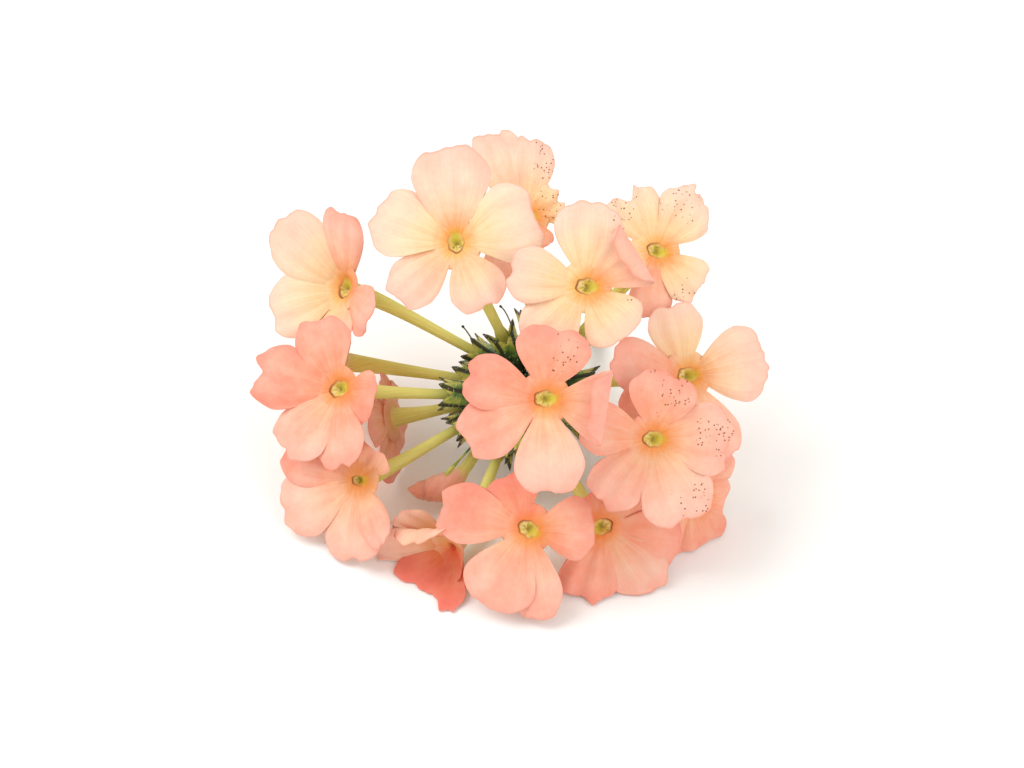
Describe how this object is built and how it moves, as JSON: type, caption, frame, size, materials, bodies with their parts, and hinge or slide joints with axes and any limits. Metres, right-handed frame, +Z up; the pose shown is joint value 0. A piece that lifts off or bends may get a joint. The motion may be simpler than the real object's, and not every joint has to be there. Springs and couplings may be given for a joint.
{
  "type": "verbena flower head",
  "caption": "Picked verbena flower head lying on its side: peach five-lobed florets on slender tubes in ribbed green calyces round a short cut stalk.",
  "frame": {"origin": "on the surface that the head lies on, under the middle of its bounding box", "axes": "+Z up from the surface, +X along the head's widest spread, -Y towards the side the open florets face"},
  "size_m": [0.068, 0.0562, 0.0437],
  "materials": {
    "petals": "thin matt petals, cream peach to coral, on yellow-green tubes",
    "calyx": "dark green ribbed calyces with short hairs",
    "stalk": "green stalk with short hairs, cut square"
  },
  "bodies": {
    "root": {"stalk": "stalk", "calyx_01": "calyx", "calyx_02": "calyx", "calyx_03": "calyx", "calyx_04": "calyx", "calyx_05": "calyx", "calyx_06": "calyx", "calyx_07": "calyx", "calyx_08": "calyx", "calyx_09": "calyx", "calyx_10": "calyx", "calyx_11": "calyx", "calyx_12": "calyx", "calyx_13": "calyx", "calyx_14": "calyx", "calyx_15": "calyx", "calyx_16": "calyx", "corolla_01": "petals", "corolla_02": "petals", "corolla_03": "petals", "corolla_04": "petals", "corolla_05": "petals", "corolla_06": "petals", "corolla_07": "petals", "corolla_08": "petals", "corolla_09": "petals", "corolla_10": "petals", "corolla_11": "petals", "corolla_12": "petals", "corolla_13": "petals", "corolla_14": "petals", "corolla_15": "petals", "corolla_16": "petals", "spent_calyx_01": "calyx", "spent_calyx_02": "calyx", "bud_calyx_01": "calyx", "bud_01": "petals"}
  },
  "joints": []
}
